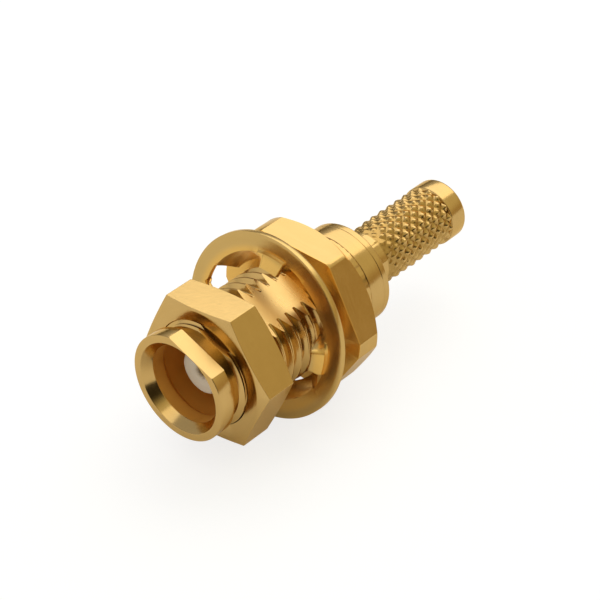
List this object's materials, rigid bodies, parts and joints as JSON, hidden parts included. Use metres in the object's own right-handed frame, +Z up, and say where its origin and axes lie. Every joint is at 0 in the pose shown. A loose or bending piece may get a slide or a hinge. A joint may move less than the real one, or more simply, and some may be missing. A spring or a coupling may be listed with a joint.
{
  "type": "bulkhead coaxial crimp jack",
  "caption": "Gold plated bulkhead coaxial jack with a snap-in socket, a threaded shank with a flat, a hex flange, a knurled crimp stem, a lock washer and a nut",
  "frame": {"origin": "On the connector's axis, in the plane of the hex flange's front face, where the panel seats", "axes": "The axis lies along Y: the socket faces -Y and the crimp stem points to +Y; +Z is up, with two flats of the hex flange nearly level; +X is to the right when looking along +Y into the socket"},
  "size_m": [0.0084, 0.0176, 0.0083],
  "materials": {
    "body_gold": "turned brass, bright gold plating with fine tool rings",
    "nut_gold": "turned brass, bright gold plating on a hex bar",
    "washer_gold": "stamped sheet, gold plated, slightly duller",
    "contact_gold": "turned spring contact, gold plated",
    "insulator_white": "white fluoropolymer, waxy and smooth"
  },
  "bodies": {
    "jack": {"front_body": "body_gold", "crimp_body": "body_gold", "insulator": "insulator_white", "centre_contact": "contact_gold", "lock_washer": "washer_gold"},
    "nut": {"hex_nut": "nut_gold"}
  },
  "joints": [
    {"name": "nut_travel", "type": "slide", "parent": "jack", "child": "nut", "axis": [0, 1, 0], "range_m": [-0.0005, 0.001]}
  ]
}
